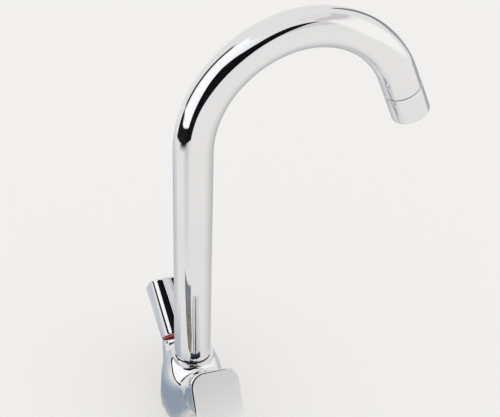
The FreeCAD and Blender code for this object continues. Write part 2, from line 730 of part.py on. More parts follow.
def make_valve_housing(side):
    item = body(f"{side}_valve_housing", ARM[side])
    bore = "(spindle_diameter / 2 + turning_clearance)"
    inner_end = f"({DRIVER_START} + driver_height + 2 * face_clearance)"
    nose_start = "(arm_length - nose_length)"
    flange_top = "(arm_length + flange_height)"
    turned(item, [
        ("nose_bore / 2", nose_start), ("nose_diameter / 2", nose_start),
        ("nose_diameter / 2", THREAD_START),
        ("valve_thread_diameter / 2", f"{THREAD_START} + fit_clearance"),
        ("valve_thread_diameter / 2", "arm_length"), ("flange_diameter / 2", "arm_length"),
        ("flange_diameter / 2", flange_top), ("gland_diameter / 2", flange_top),
        ("gland_diameter / 2", GLAND_TOP), (bore, GLAND_TOP), (bore, inner_end),
        ("nose_bore / 2", inner_end)])
    windows = sketch(item, "XZ_Plane")
    window_start = "(arm_length - window_depth)"
    window_end = f"({window_start} + window_length)"
    outline(windows, [
        ("-window_width / 2", window_start), ("window_width / 2", window_start),
        ("window_width / 2", window_end), ("-window_width / 2", window_end)])
    pocketed(item, windows, "2 * nose_diameter", both_ways=True)
    flats = sketch(item, height=flange_top)
    hexagon(flats, "hex_width")
    circle(flats, f"2 * {bore}")
    padded(item, flats, "hex_height")


def make_spindle(side):
    item = body(f"{side}_spindle", ARM[side])
    groove = "spindle_diameter / 2 - clip_groove_depth"
    clip_start = f"{GLAND_TOP} + face_clearance"
    ring_inner = "spindle_diameter / 2 - spindle_ring_depth"
    turned(item, [
        ("0", DRIVER_START), ("driver_diameter / 2", DRIVER_START),
        ("driver_diameter / 2", f"{DRIVER_START} + driver_height"),
        ("spindle_diameter / 2", f"{DRIVER_START} + driver_height"),
        ("spindle_diameter / 2", f"{SPINDLE_RING} - spindle_ring_width / 2"),
        (ring_inner, f"{SPINDLE_RING} - spindle_ring_width / 2"),
        (ring_inner, f"{SPINDLE_RING} + spindle_ring_width / 2"),
        ("spindle_diameter / 2", f"{SPINDLE_RING} + spindle_ring_width / 2"),
        ("spindle_diameter / 2", clip_start), (groove, clip_start),
        (groove, f"{clip_start} + clip_height"), ("spindle_diameter / 2", f"{clip_start} + clip_height"),
        ("spindle_diameter / 2", SPLINE_START), ("0", SPLINE_START)])
    bar = sketch(item, height=f"{DRIVER_START} - drive_slot_depth + face_clearance")
    slot_shape(bar, "(drive_slot_width / 2 - face_clearance)")
    padded(item, bar, "drive_slot_depth")
    turned(item, ring_outline("driver_diameter", "4 * driver_diameter",
                              f"{DRIVER_START} - 2 * drive_slot_depth",
                              f"{DRIVER_START} + driver_height"), cut=True)
    teeth = sketch(item, height=SPLINE_START)
    points = []
    for i in range(2 * SIZES["spline_teeth"]):
        radius = "spline_diameter / 2" if i % 2 else "(spline_diameter / 2 - spline_tooth_depth)"
        angle = f"180 / spline_teeth * {i}"
        points.append((f"{radius} * cos({angle})", f"{radius} * sin({angle})"))
    outline(teeth, points)
    padded(item, teeth, "spline_length")


def make_spindle_seals(side):
    ring = body(f"{side}_spindle_o_ring", ARM[side])
    seal_ring(ring, "spindle_diameter - 2 * spindle_ring_depth", "spindle_diameter", SPINDLE_RING)
    start = f"({GLAND_TOP} + face_clearance)"
    clip = tube(f"{side}_spindle_clip", ARM[side], "spindle_diameter - 2 * clip_groove_depth",
                "clip_diameter", start, f"{start} + clip_height")
    mouth = sketch(clip, height=start)
    half = "(spindle_diameter / 2 - clip_groove_depth)"
    outline(mouth, [("0", f"-{half} / 2"), ("clip_diameter", f"-{half} / 2"),
                    ("clip_diameter", f"{half} / 2"), ("0", f"{half} / 2")])
    pocketed(clip, mouth, "clip_height", reverse=True)
    tube(f"{side}_flange_seal", ARM[side], "valve_thread_diameter + 2 * fit_clearance",
         "rebate_diameter - 2 * fit_clearance", "arm_length - rebate_depth", "arm_length")


def make_index_ring(side):
    item = body(f"{side}_index_ring", ARM[side])
    profile = sketch(item, height="arm_length + face_clearance")
    rounded_square(profile, "index_ring_width", "arm_end_corner")
    circle(profile, "index_ring_bore")
    padded(item, profile, "index_ring_height")


def make_handle(side):
    item = body(f"{side}_handle", ARM[side])
    base = sketch(item, height=HANDLE_BASE)
    rounded_square(base, "handle_base_width", "handle_base_corner")
    end = sketch(item, height=HANDLE_END)
    rounded_square(end, "handle_end_width", "handle_end_corner")
    shell = lofted(item, base, end)
    stack = ("arm_length", "index_ring_height", "handle_gap", "handle_length")
    end_height = sum(SIZES[size] for size in stack) + 2 * SIZES["face_clearance"]
    rounded_edges(item, shell, at_height(end_height), "handle_edge")
    cavity_end = f"({HANDLE_BASE} + handle_cavity_depth)"
    bush_end = f"({BOSS_START} + bush_length + face_clearance)"
    turned(item, [
        ("0", f"{HANDLE_BASE} - joining_overlap"),
        ("handle_cavity_diameter / 2", f"{HANDLE_BASE} - joining_overlap"),
        ("handle_cavity_diameter / 2", cavity_end), ("boss_diameter / 2", cavity_end),
        ("boss_diameter / 2", BOSS_START), ("bush_diameter / 2 + fit_clearance", BOSS_START),
        ("bush_diameter / 2 + fit_clearance", bush_end), ("0", bush_end)], cut=True)
    access = sketch(item, "XZ_Plane")
    circle(access, "grub_diameter + 2 * fit_clearance", "0", GRUB_HEIGHT)
    pocketed(item, access, "handle_end_width")


def make_handle_fixings(side):
    bush = tube(f"{side}_handle_bush", ARM[side], "0", "bush_diameter", BOSS_START,
                f"{BOSS_START} + bush_length")
    turned(bush, [
        ("0", f"{BOSS_START} - joining_overlap"),
        ("spline_diameter / 2 + fit_clearance", f"{BOSS_START} - joining_overlap"),
        ("spline_diameter / 2 + fit_clearance", f"{SPINDLE_END} + face_clearance"),
        ("0", f"{SPINDLE_END} + face_clearance")], cut=True)
    grub = body(f"{side}_handle_screw", ARM[side])
    profile = sketch(grub, "XZ_Plane", height="-bush_diameter / 2 - fit_clearance")
    circle(profile, "grub_diameter", "0", GRUB_HEIGHT)
    pad = padded(grub, profile, "grub_length")
    pad.Reversed = True
    key = sketch(grub, "XZ_Plane", height="-bush_diameter / 2 - fit_clearance - grub_length")
    outline(key, [(f"keeper_key_width / 2 / cos(30) * cos({60 * i})",
                   f"{GRUB_HEIGHT} + keeper_key_width / 2 / cos(30) * sin({60 * i})") for i in range(6)])
    pocketed(grub, key, "keeper_key_depth", reverse=True)


# Gasket and fixing set
def make_fixing_set():
    tube("base_gasket", None, "gasket_inner_diameter + 2 * fit_clearance",
         "gasket_outer_diameter - 2 * fit_clearance", "0", "gasket_height")
    stud_place = "placement(vector(-stud_back; 0; 0); rotation(vector(0; 0; 1); 0))"
    stud = body("fixing_stud", stud_place)
    radius = "stud_diameter / 2"
    turned(stud, [
        ("0", "-stud_bottom"), (f"{radius} - stud_chamfer", "-stud_bottom"),
        (radius, "-stud_bottom + stud_chamfer"), (radius, "stud_hole_depth - stud_chamfer"),
        (f"{radius} - stud_chamfer", "stud_hole_depth"), ("0", "stud_hole_depth")])
    washers = (("clamp_washer_rubber", "-worktop_thickness", "rubber_washer_height"),
               ("clamp_washer_steel", "-worktop_thickness - rubber_washer_height", "steel_washer_height"))
    for label, top, thickness in washers:
        make_horseshoe(label, top, thickness)
    nut_top = "(-worktop_thickness - rubber_washer_height - steel_washer_height)"
    nut = body("fixing_nut", stud_place)
    profile = sketch(nut, height=f"{nut_top} - nut_height")
    hexagon(profile, "nut_width")
    circle(profile, "stud_diameter + 2 * fit_clearance")
    padded(nut, profile, "nut_height")


def make_horseshoe(label, top, thickness):
    """A round washer with a slot for the supply tails and a hole for the stud."""
    item = body(label)
    profile = sketch(item, height=f"{top} - {thickness}")
    circle(profile, "washer_diameter")
    circle(profile, "stud_washer_hole", "-stud_back", "0")
    padded(item, profile, thickness)
    slot = sketch(item, height=f"{top} - {thickness}")
    outline(slot, [
        ("-washer_slot_back", "-washer_slot_width / 2"), ("washer_diameter", "-washer_slot_width / 2"),
        ("washer_diameter", "washer_slot_width / 2"), ("-washer_slot_back", "washer_slot_width / 2")])
    pocketed(item, slot, thickness, reverse=True)


make_body_casting()
make_spout_tube()
make_spout_foot()
make_spout_seals()
make_keeper_screw()
make_outlet()
make_aerator_inside()
for arm_side in ("hot", "cold"):
    make_discs(arm_side)
    make_seat_seal(arm_side)
    make_valve_housing(arm_side)
    make_spindle(arm_side)
    make_spindle_seals(arm_side)
    make_index_ring(arm_side)
    make_handle(arm_side)
    make_handle_fixings(arm_side)
make_fixing_set()

doc.recompute()
failed = [item.Label for item in doc.Objects if "Invalid" in item.State or "Error" in item.State]
if failed:
    raise RuntimeError("These objects failed: " + ", ".join(failed))
for item in pieces:
    if item.Shape.isNull() or not item.Shape.isValid() or not item.Shape.Solids:
        raise RuntimeError(item.Label + " has no valid shape")

os.makedirs("parts", exist_ok=True)
for item in pieces:
    item.Shape.exportStep(f"parts/{item.Label}.step")
    print(f"{item.Label}: {len(item.Shape.Solids)} solid, {item.Shape.Volume:.1f} mm3")
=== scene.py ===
import json
import math
import random

import bmesh
import bpy
import numpy as np
from mathutils import Matrix, Vector


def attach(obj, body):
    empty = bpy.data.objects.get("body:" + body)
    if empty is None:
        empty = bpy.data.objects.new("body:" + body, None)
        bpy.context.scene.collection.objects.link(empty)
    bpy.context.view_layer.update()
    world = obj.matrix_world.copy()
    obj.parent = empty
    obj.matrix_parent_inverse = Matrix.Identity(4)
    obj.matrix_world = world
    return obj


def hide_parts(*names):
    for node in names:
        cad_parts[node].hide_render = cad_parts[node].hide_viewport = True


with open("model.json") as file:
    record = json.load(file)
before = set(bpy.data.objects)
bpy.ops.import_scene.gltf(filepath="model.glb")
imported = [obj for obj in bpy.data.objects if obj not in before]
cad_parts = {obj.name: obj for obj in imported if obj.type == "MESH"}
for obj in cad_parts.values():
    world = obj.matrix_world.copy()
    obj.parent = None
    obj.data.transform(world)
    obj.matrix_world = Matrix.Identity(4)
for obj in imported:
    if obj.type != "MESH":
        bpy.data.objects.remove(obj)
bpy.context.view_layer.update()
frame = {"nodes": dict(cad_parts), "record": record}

# Sizes in millimetres, in the tap's own frame: base centre at the origin, +Z up, spout along +X,
# hot side along +Y and cold side along -Y.
MM = 0.001
SIDES = {"hot": 1.0, "cold": -1.0}
ROUND_COUNT = 96    # points round a circle

# Casting: a column with a collar on top, two tilted arms, and hollow saddles between them. A blend
# is the reach over which two forms flow together, and an edge is how far a corner is rounded.
BODY_HEIGHT = 52.0
BASE_RADIUS = 24.95
WAIST_HEIGHT = 24.0
WAIST_RADIUS = 23.8
SHOULDER_POINTS = 25    # along the arc from waist to collar
COLLAR_RADIUS = 16.1
COLLAR_BAND = 1.2
COLLAR_EDGE = 0.35
COLLAR_COUNT = 144    # points round the collar
CROWN_DROP = 1.0    # the casting ends this far under the collar's top
CROWN_EDGE = 0.4
SADDLE_HEIGHT = 42.6
SADDLE_ARM_RADIUS = 14.8    # a saddle is cut down to this far from the arm's axis
SADDLE_BLEND = 7.0
SADDLE_EDGE = 5.0
NECK_INSET = 0.15    # the casting's neck is this much thinner than the collar
NECK_BLEND = 11.0
RIDGE_HALF = 2.5    # the ridge from front to back starts to slope this far from the middle,
RIDGE_RUN = 13.0    # and reaches the saddle's height after this way
RIDGE_BLEND = 4.0
TILT = math.radians(50.5)
CROSS_HEIGHT = 11.5
ARM_ROOT = 6.0
ARM_LENGTH = 42.6
ARM_ROOT_HALF = 19.0
ARM_ROOT_CORNER = 6.0
ARM_END_HALF = 15.5
ARM_END_CORNER = 14.5
ARM_BLEND = 9.0
CAST_EDGE = 0.8

# Holes in the casting
SOCKET_RADIUS = 9.45
SOCKET_DEPTH = 19.0
SOCKET_CHAMFER = 0.5
KEEPER_RADIUS = 2.52
KEEPER_DEPTH = 12.2
INLET_FORWARD = 4.0
INLET_SPACING = 16.0
INLET_RADIUS = 4.55
INLET_DEPTH = 18.0
STUD_BACK = 10.5
STUD_RADIUS = 4.05
STUD_DEPTH = 13.0
GASKET_RADII = (17.0, 22.5)
GASKET_HEIGHT = 2.0
POCKET_RADIUS = 10.5
POCKET_DEPTH = 23.1
HOLE_EDGE = 0.3

# The casting's mesh: grid step, room round it, and how its points are drawn onto the surface
CAST_STEP = 0.5
CAST_MARGIN = 2.0
DRAW_ROUNDS = 4
DRAW_SLOPE = 0.04    # the slope is measured over this way to either side
FLATTEST_SLOPE = 0.05    # squared, below which a point is moved with care

# Spout tube, with its bends as radius and angle
TUBE_RADIUS = 13.97
TUBE_WALL = 1.5
TUBE_BOTTOM = 53.1
TUBE_SPACING = 1.2    # between rings in the bends
RISER_TOP = 231.0
BENDS = ((85.0, math.radians(72.4)), (72.0, math.radians(83.6)))
TUBE_END_STRAIGHT = 13.0

# Aerator housing, lengths along its axis from the tube's end
AERATOR_RADIUS = 14.2
AERATOR_LENGTH = 22.4
AERATOR_EDGE = 0.8
AERATOR_JOINT = 0.5
AERATOR_JOINT_EDGE = 0.35
AERATOR_THREAD = 12.02
AERATOR_LIP = 10.3
AERATOR_LIP_EDGE = 0.3
AERATOR_LIP_START = 20.2

# Handles, lengths along the arm's axis from where the two axes cross
HANDLE_BASE = 44.4
HANDLE_END = 89.3
HANDLE_BASE_HALF = 15.5
HANDLE_BASE_CORNER = 14.5
HANDLE_BASE_EDGE = 0.4
HANDLE_END_HALF = 18.7
HANDLE_END_CORNER = 10.5
HANDLE_EDGE = 0.8
ROLL_WIDTH = 3.2    # the flat end rolls off over this width
ROLL_DROP = 0.42
FLAT_INSETS = (5.0, 7.0, 9.0)    # of the rings across the flat end
FLAT_CORNER_SHARE = 0.9
BASE_EDGE_RINGS = 5
SIDE_RINGS = 24
SIDE_SPAN = (0.04, 0.96)    # shares of the way between which the rings lie
END_EDGE_RINGS = 10
ROLL_RINGS = 12
ROLL_SPAN = (0.1, 1.0)
HANDLE_CAVITY = 12.8
HANDLE_CAVITY_END = 81.2
BOSS_RADIUS = 9.5
BOSS_START = 55.9
BUSH_RADIUS = 6.12
BUSH_END = 69.55


# Finishes
ROUGHNESS_NOISE = (0.35, 0.7)
COLOUR_NOISE = (0.35, 0.65)


def new_material(name):
    material = bpy.data.materials.new(name)
    material.use_nodes = True
    return material


def shader_input(material, name):
    return material.node_tree.nodes["Principled BSDF"].inputs[name]


def add_noise(material, scale, detail, stretch=(1.0, 1.0, 1.0)):
    """Noise in the piece's own coordinates, finer along an axis that is stretched."""
    nodes = material.node_tree.nodes
    links = material.node_tree.links
    place = nodes.new("ShaderNodeTexCoord")
    spread = nodes.new("ShaderNodeMapping")
    spread.inputs["Scale"].default_value = stretch
    noise = nodes.new("ShaderNodeTexNoise")
    noise.inputs["Scale"].default_value = scale
    noise.inputs["Detail"].default_value = detail
    links.new(place.outputs["Object"], spread.inputs["Vector"])
    links.new(spread.outputs["Vector"], noise.inputs["Vector"])
    return noise.outputs["Fac"]


def add_bump(material, scale, strength, distance, detail=2.0, stretch=(1.0, 1.0, 1.0)):
    """Fine relief from noise, its distance in metres."""
    links = material.node_tree.links
    bump = material.node_tree.nodes.new("ShaderNodeBump")
    bump.inputs["Strength"].default_value = strength
    bump.inputs["Distance"].default_value = distance
    links.new(add_noise(material, scale, detail, stretch), bump.inputs["Height"])
    links.new(bump.outputs["Normal"], shader_input(material, "Normal"))


def vary_roughness(material, low, high, scale):
    """Let the roughness drift between two values."""
    links = material.node_tree.links
    spread = material.node_tree.nodes.new("ShaderNodeMapRange")
    spread.inputs["From Min"].default_value = ROUGHNESS_NOISE[0]
    spread.inputs["From Max"].default_value = ROUGHNESS_NOISE[1]
    spread.inputs["To Min"].default_value = low
    spread.inputs["To Max"].default_value = high
    links.new(add_noise(material, scale, detail=6.0), spread.inputs["Value"])
    links.new(spread.outputs["Result"], shader_input(material, "Roughness"))


def vary_colour(material, dark, light, scale):
    """Let the colour drift between two shades."""
    links = material.node_tree.links
    ramp = material.node_tree.nodes.new("ShaderNodeValToRGB")
    for point, position, shade in zip(ramp.color_ramp.elements, COLOUR_NOISE, (dark, light)):
        point.position = position
        point.color = (*shade, 1.0)
    links.new(add_noise(material, scale, detail=4.0), ramp.inputs["Fac"])
    links.new(ramp.outputs["Color"], shader_input(material, "Base Color"))


def make_chrome():
    """Bright chrome plate with very faint wipe marks and the slight waviness of a polished part."""
    material = new_material("chrome_plate")
    shader_input(material, "Metallic").default_value = 1.0
    vary_colour(material, (0.83, 0.835, 0.845), (0.87, 0.872, 0.88), scale=9.0)
    vary_roughness(material, 0.02, 0.05, scale=160.0)
    add_bump(material, scale=60.0, strength=0.04, distance=0.0004, detail=1.0)
    return material


def make_metal(name, dark, light, roughness):
    """A turned or plated metal with fine tool marks round the part."""
    material = new_material(name)
    shader_input(material, "Metallic").default_value = 1.0
    vary_colour(material, dark, light, scale=120.0)
    vary_roughness(material, roughness * 0.75, roughness * 1.3, scale=500.0)
    add_bump(material, scale=400.0, strength=0.12, distance=0.0002, stretch=(1.0, 1.0, 4.0))
    return material


def make_plain(name, dark, light, roughness, grain, relief):
    """A moulded plastic, rubber or ceramic with fine grain."""
    material = new_material(name)
    vary_colour(material, dark, light, scale=90.0)
    vary_roughness(material, roughness * 0.85, roughness * 1.1, scale=300.0)
    add_bump(material, scale=grain, strength=relief, distance=0.0002)
    return material


FINISHES = {
    "chrome": make_chrome(),
    "brass": make_metal("turned_brass", (0.62, 0.43, 0.17), (0.72, 0.53, 0.24), 0.28),
    "steel": make_metal("plated_steel", (0.48, 0.48, 0.49), (0.6, 0.6, 0.61), 0.34),
    "ceramic": make_plain("lapped_ceramic", (0.82, 0.81, 0.78), (0.88, 0.87, 0.84),
                          0.18, 900.0, 0.05),
    "rubber": make_plain("black_rubber", (0.018, 0.018, 0.02), (0.032, 0.032, 0.034),
                         0.62, 1400.0, 0.3),
    "white_plastic": make_plain("white_plastic", (0.76, 0.76, 0.74), (0.82, 0.82, 0.8),
                                0.42, 1100.0, 0.12),
    "grey_plastic": make_plain("grey_plastic", (0.02, 0.02, 0.022), (0.032, 0.032, 0.035),
                               0.45, 1100.0, 0.15),
    "red_plastic": make_plain("red_plastic", (0.42, 0.012, 0.016), (0.5, 0.02, 0.025),
                              0.3, 900.0, 0.08),
    "blue_plastic": make_plain("blue_plastic", (0.008, 0.024, 0.1), (0.011, 0.034, 0.14),
                               0.3, 900.0, 0.08),
}


def finish_cad_nodes():
    slots = {row["node"]: row["material_slot"] for row in frame["record"]["subparts"]}
    for name, node in frame["nodes"].items():
        node.data.materials.clear()
        node.data.materials.append(FINISHES[slots[name]])


# Pieces
def add_piece(name, verts, faces, body, *replaces):
    """Make a chrome mesh from points in millimetres and let it move with a body."""
    mesh = bpy.data.meshes.new(name)
    mesh.from_pydata([tuple(point) for point in np.asarray(verts) * MM], [], faces)
    mesh.validate()
    piece = bpy.data.objects.new(name, mesh)
    bpy.context.scene.collection.objects.link(piece)
    mend(piece)
    mesh.polygons.foreach_set("use_smooth", [True] * len(mesh.polygons))
    mesh.materials.append(FINISHES["chrome"])
    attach(piece, body)
    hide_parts(*replaces)
    return piece


def mend(piece, merge=0.0):
    """Turn all faces outwards, and merge points that are closer than a distance in metres."""
    work = bmesh.new()
    work.from_mesh(piece.data)
    if merge:
        bmesh.ops.remove_doubles(work, verts=work.verts, dist=merge)
    bmesh.ops.recalc_face_normals(work, faces=work.faces)
    work.to_mesh(piece.data)
    work.free()


def sharpen(piece, degrees=32.0):
    """Keep edges that turn by more than this crisp, and shade all others smooth."""
    piece.data.set_sharp_from_angle(angle=math.radians(degrees))


def skin(rings, close_end=False, loop=False):
    """Faces that join rings of the same number of points, as (verts, faces)."""
    count = len(rings[0])
    verts = [point for ring in rings for point in ring]
    faces = []
    pairs = len(rings) if loop else len(rings) - 1
    for i in range(pairs):
        a = i * count
        b = ((i + 1) % len(rings)) * count
        for j in range(count):
            k = (j + 1) % count
            faces.append((a + j, a + k, b + k, b + j))
    if close_end:
        faces.append(tuple(range((len(rings) - 1) * count, len(rings) * count)))
    return verts, faces


# Spout tube
def path_stations():
    """Points of the tube's centre line in the XZ plane, each with its direction."""
    stations = [((0.0, TUBE_BOTTOM), 0.0), ((0.0, RISER_TOP), 0.0)]
    heading = 0.0
    place = np.array([0.0, RISER_TOP])
    for radius, angle in BENDS:
        centre = place + radius * np.array([math.cos(heading), -math.sin(heading)])
        count = max(2, round(radius * angle / TUBE_SPACING))
        for i in range(1, count + 1):
            turn = heading + angle * i / count
            place = centre + radius * np.array([-math.cos(turn), math.sin(turn)])
            stations.append((tuple(place), turn))
        heading += angle
    end = place + TUBE_END_STRAIGHT * np.array([math.sin(heading), math.cos(heading)])
    stations.append((tuple(end), heading))
    return stations


def ring_round(place, heading, radius):
    """A circle about the centre line, square to its direction."""
    x, z = place
    centre = np.array([x, 0.0, z])
    across = np.array([math.cos(heading), 0.0, -math.sin(heading)])
    sideways = np.array([0.0, 1.0, 0.0])
    return [centre + radius * (math.cos(a) * across + math.sin(a) * sideways)
            for a in np.linspace(0.0, math.tau, ROUND_COUNT, endpoint=False)]


def make_spout_tube():
    stations = path_stations()
    bore = TUBE_RADIUS - TUBE_WALL
    outer = [ring_round(place, heading, TUBE_RADIUS) for place, heading in stations]
    inner = [ring_round(place, heading, bore) for place, heading in stations]
    verts, faces = skin(outer + inner[::-1], loop=True)
    sharpen(add_piece("spout_tube_skin", verts, faces, "spout", "spout_tube"))
    return stations[-1]


# Round parts
def turned_piece(name, profile, origin, axis, body, replaces, count=ROUND_COUNT):
    """A profile of radius and height turned about a straight axis."""
    axis = Vector(axis).normalized()
    side = axis.orthogonal().normalized()
    other = axis.cross(side)
    rings = []
    for radius, height in profile:
        centre = Vector(origin) + axis * height
        rings.append([centre + radius * (math.cos(a) * side + math.sin(a) * other)
                      for a in np.linspace(0.0, math.tau, count, endpoint=False)])
    verts, faces = skin(rings, loop=True)
    sharpen(add_piece(name, verts, faces, body, replaces))


def rounded(corner_radius, corner_height, radius, start, end, steps=6):
    """Points of a rounded corner in a profile, about its centre, between two angles in degrees."""
    return [(corner_radius + radius * math.cos(a), corner_height + radius * math.sin(a))
            for a in np.linspace(math.radians(start), math.radians(end), steps + 1)]


def make_aerator(tube_end):
    (x, z), heading = tube_end
    axis = (math.sin(heading), 0.0, math.cos(heading))
    edge, joint_edge, lip_edge = AERATOR_EDGE, AERATOR_JOINT_EDGE, AERATOR_LIP_EDGE
    profile = [(AERATOR_THREAD, AERATOR_JOINT)]
    profile += rounded(AERATOR_RADIUS - joint_edge, AERATOR_JOINT + joint_edge, joint_edge, -90, 0)
    profile += rounded(AERATOR_RADIUS - edge, AERATOR_LENGTH - edge, edge, 0, 90)
    profile += rounded(AERATOR_LIP + lip_edge, AERATOR_LENGTH - lip_edge, lip_edge, 90, 180, 3)
    profile += [(AERATOR_LIP, AERATOR_LIP_START), (AERATOR_THREAD, AERATOR_LIP_START)]
    turned_piece("aerator_shell", profile, (x, 0.0, z), axis, "spout", "aerator_housing")


def make_collar():
    """The turned seat of the spout, which stands out of the casting's saddles."""
    foot = BODY_HEIGHT - SOCKET_DEPTH / 2
    profile = [(SOCKET_RADIUS, foot), (COLLAR_RADIUS, foot)]
    profile += rounded(COLLAR_RADIUS - COLLAR_EDGE, BODY_HEIGHT - COLLAR_EDGE, COLLAR_EDGE, 0, 90)
    profile += [(SOCKET_RADIUS + SOCKET_CHAMFER, BODY_HEIGHT),
                (SOCKET_RADIUS, BODY_HEIGHT - SOCKET_CHAMFER)]
    turned_piece("body_collar", profile, (0.0, 0.0, 0.0), (0.0, 0.0, 1.0), "body", "tap_body",
                 COLLAR_COUNT)


# Handles
def arm_point(side, u, v, along):
    """A point in a frame on an arm: u along X, v towards the spout and up, along the way out."""
    y = along * math.sin(TILT) - v * math.cos(TILT)
    z = CROSS_HEIGHT + along * math.cos(TILT) + v * math.sin(TILT)
    return (u, side * y, z)


def square_points(half, corner, per_corner=14):
    """Points round a square with rounded corners."""
    flat = half - corner
    points = []
    for quarter in range(4):
        base = math.pi / 2 * quarter
        sign_u = 1 if quarter in (0, 3) else -1
        sign_v = 1 if quarter in (0, 1) else -1
        for a in np.linspace(base, base + math.pi / 2, per_corner):
            points.append((sign_u * flat + corner * math.cos(a),
                           sign_v * flat + corner * math.sin(a)))
    return points


def square_ring(side, half, corner, along):
    """A rounded square about the arm's axis."""
    return [arm_point(side, u, v, along) for u, v in square_points(half, corner)]


def round_ring(side, radius, along):
    """A circle about the arm's axis, with its points in the directions of a rounded square's."""
    ring = []
    for u, v in square_points(half=1.0, corner=0.6):
        length = math.hypot(u, v)
        ring.append(arm_point(side, radius * u / length, radius * v / length, along))
    return ring


def handle_size(along):
    """Half width and corner radius of the handle, which widens from its base to its end."""
    share = (along - HANDLE_BASE) / (HANDLE_END - HANDLE_BASE)
    half = HANDLE_BASE_HALF + (HANDLE_END_HALF - HANDLE_BASE_HALF) * share
    corner = HANDLE_BASE_CORNER + (HANDLE_END_CORNER - HANDLE_BASE_CORNER) * share
    return half, corner


def handle_sides(side):
    """Rings from the mouth of the cavity round the base's edge and up the sides."""
    rings = [round_ring(side, HANDLE_CAVITY, HANDLE_BASE)]
    for a in np.linspace(-math.pi / 2, 0.0, BASE_EDGE_RINGS):
        along = HANDLE_BASE + HANDLE_BASE_EDGE + HANDLE_BASE_EDGE * math.sin(a)
        half, corner = handle_size(along)
        inset = HANDLE_BASE_EDGE * (1 - math.cos(a))
        rings.append(square_ring(side, half - inset, corner - inset, along))
    for share in np.linspace(*SIDE_SPAN, SIDE_RINGS):
        along = HANDLE_BASE + (HANDLE_END - HANDLE_BASE) * share
        rings.append(square_ring(side, *handle_size(along), along))
    return rings


def handle_rim(side):
    """Rings round the end's edge, over its rolled rim and onto the flat.

    The rim falls with the cube of the way in from the flat, and the edge's arc meets it in line.
    """
    way_in = 1.0 - HANDLE_EDGE / ROLL_WIDTH
    slack = math.atan(ROLL_DROP / ROLL_WIDTH * 3.0 * way_in ** 2)
    drop = ROLL_DROP * way_in ** 3
    edge_height = HANDLE_EDGE / math.tan(math.pi / 4 + slack / 2)
    half, corner = handle_size(HANDLE_END - drop - edge_height)
    rings = []
    for share in np.linspace(0.0, 1.0, END_EDGE_RINGS):
        turn = (math.pi / 2 - slack) * share
        inset = HANDLE_EDGE * (1 - math.cos(turn)) / (1 - math.sin(slack))
        fall = edge_height * (1 - math.sin(turn) / math.cos(slack))
        rings.append(square_ring(side, half - inset, corner - inset, HANDLE_END - drop - fall))
    for share in np.linspace(*ROLL_SPAN, ROLL_RINGS):
        inset = HANDLE_EDGE + (ROLL_WIDTH - HANDLE_EDGE) * share
        fall = ROLL_DROP * (1.0 - inset / ROLL_WIDTH) ** 3
        rings.append(square_ring(side, half - inset, corner - inset, HANDLE_END - fall))
    for inset in FLAT_INSETS:
        flat_corner = corner - inset * FLAT_CORNER_SHARE
        rings.append(square_ring(side, half - inset, flat_corner, HANDLE_END))
    return rings


def make_handle(side_name, side):
    """A handle as a shell: its outside, and the cavity with the boss that holds the bush."""
    outside = handle_sides(side) + handle_rim(side)
    cavity = outside[:1]
    for radius, along in ((HANDLE_CAVITY, HANDLE_CAVITY_END), (BOSS_RADIUS, HANDLE_CAVITY_END),
                          (BOSS_RADIUS, BOSS_START), (BUSH_RADIUS, BOSS_START),
                          (BUSH_RADIUS, BUSH_END)):
        cavity.append(round_ring(side, radius, along))
    verts, faces = skin(outside, close_end=True)
    cavity_verts, cavity_faces = skin(cavity, close_end=True)
    offset = len(verts)
    verts += cavity_verts
    faces += [tuple(i + offset for i in face) for face in cavity_faces]
    piece = add_piece(f"{side_name}_handle_shell", verts, faces, f"{side_name}_handle",
                      f"{side_name}_handle")
    mend(piece, merge=0.00001)
    sharpen(piece)


# Body casting: a closed surface where a distance function is zero
def outline_distance(points, outline):
    """Signed distance in a plane to a closed outline, below zero inside."""
    nearest = np.full(points.shape[:-1], np.inf)
    inside = np.zeros(points.shape[:-1], dtype=bool)
    for i, start in enumerate(outline):
        end = outline[(i + 1) % len(outline)]
        edge = np.subtract(end, start)
        to_point = points - np.asarray(start)
        share = np.clip((to_point @ edge) / (edge @ edge), 0.0, 1.0)
        gap = to_point - share[..., None] * edge
        nearest = np.minimum(nearest, (gap ** 2).sum(-1))
        crosses = (start[1] > points[..., 1]) != (end[1] > points[..., 1])
        if edge[1]:
            meets = start[0] + (points[..., 1] - start[1]) * edge[0] / edge[1]
            inside ^= crosses & (points[..., 0] < meets)
    return np.where(inside, -1.0, 1.0) * np.sqrt(nearest)


def soft_max(a, b, reach):
    """The larger of two distances, with the edge between them rounded."""
    mix = np.maximum(reach - np.abs(a - b), 0.0) / reach
    return np.maximum(a, b) + mix * mix * reach / 4


def soft_min(a, b, reach):
    return -soft_max(-a, -b, reach)


def column_outline():
    """The column's half profile in radius and height, its shoulder a tangent arc.

    It starts on the far side of the axis, so that the axis is inside.
    """
    shoulder = np.array([COLLAR_RADIUS, BODY_HEIGHT - COLLAR_BAND])
    waist = np.array([WAIST_RADIUS, WAIST_HEIGHT])
    along = waist - np.array([BASE_RADIUS, 0.0])
    along /= np.linalg.norm(along)
    inward = np.array([-along[1], along[0]])
    chord = shoulder - waist
    radius = (chord @ chord) / (2 * chord @ inward)
    centre = waist + inward * radius
    start = math.atan2(*(waist - centre)[::-1])
    end = math.atan2(*(shoulder - centre)[::-1])
    arc = [tuple(centre + radius * np.array([math.cos(a), math.sin(a)]))
           for a in np.linspace(start, end, SHOULDER_POINTS)]
    return [(-BASE_RADIUS, 0.0), (BASE_RADIUS, 0.0), *arc,
            (COLLAR_RADIUS, BODY_HEIGHT), (-BASE_RADIUS, BODY_HEIGHT)]


def along_arm(y, z):
    """How far out a place lies along the axis of the arm on the side where y is above zero."""
    return y * math.sin(TILT) + (z - CROSS_HEIGHT) * math.cos(TILT)


